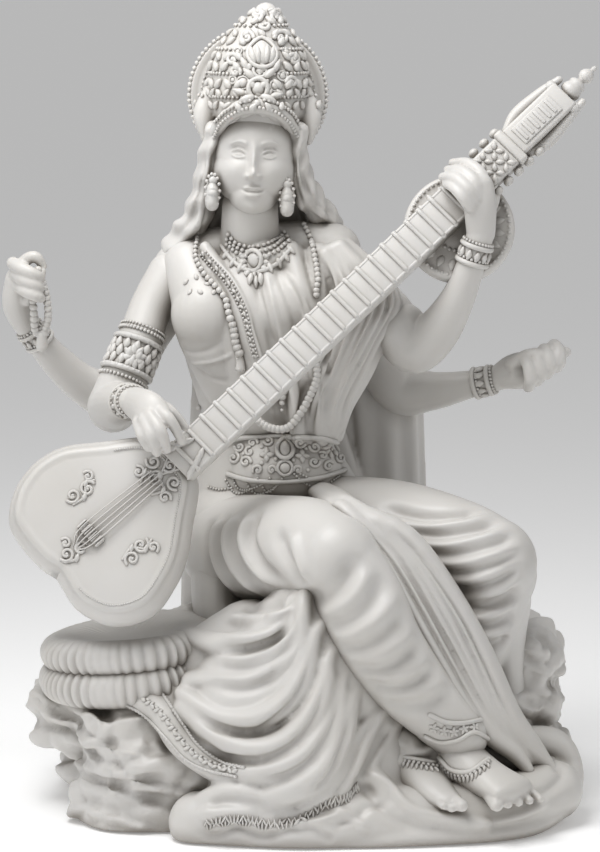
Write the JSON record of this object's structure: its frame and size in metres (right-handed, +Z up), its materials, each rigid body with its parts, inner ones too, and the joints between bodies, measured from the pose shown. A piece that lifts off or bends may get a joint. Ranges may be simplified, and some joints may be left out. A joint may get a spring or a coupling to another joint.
{
  "type": "statue",
  "caption": "Statuette of the goddess Saraswati, four-armed, seated on a rock and playing a long-necked veena, cast with its plinth.",
  "frame": {"origin": "a point of the flat underside, under the middle of the plinth", "axes": "+Z up along the figure, -Y to the front that the face looks to, +X to the veena's upper end"},
  "size_m": [0.1739, 0.1196, 0.2348],
  "materials": {
    "marble_resin": "satin"
  },
  "bodies": {
    "root": {"saraswati_statue": "marble_resin"}
  },
  "joints": []
}
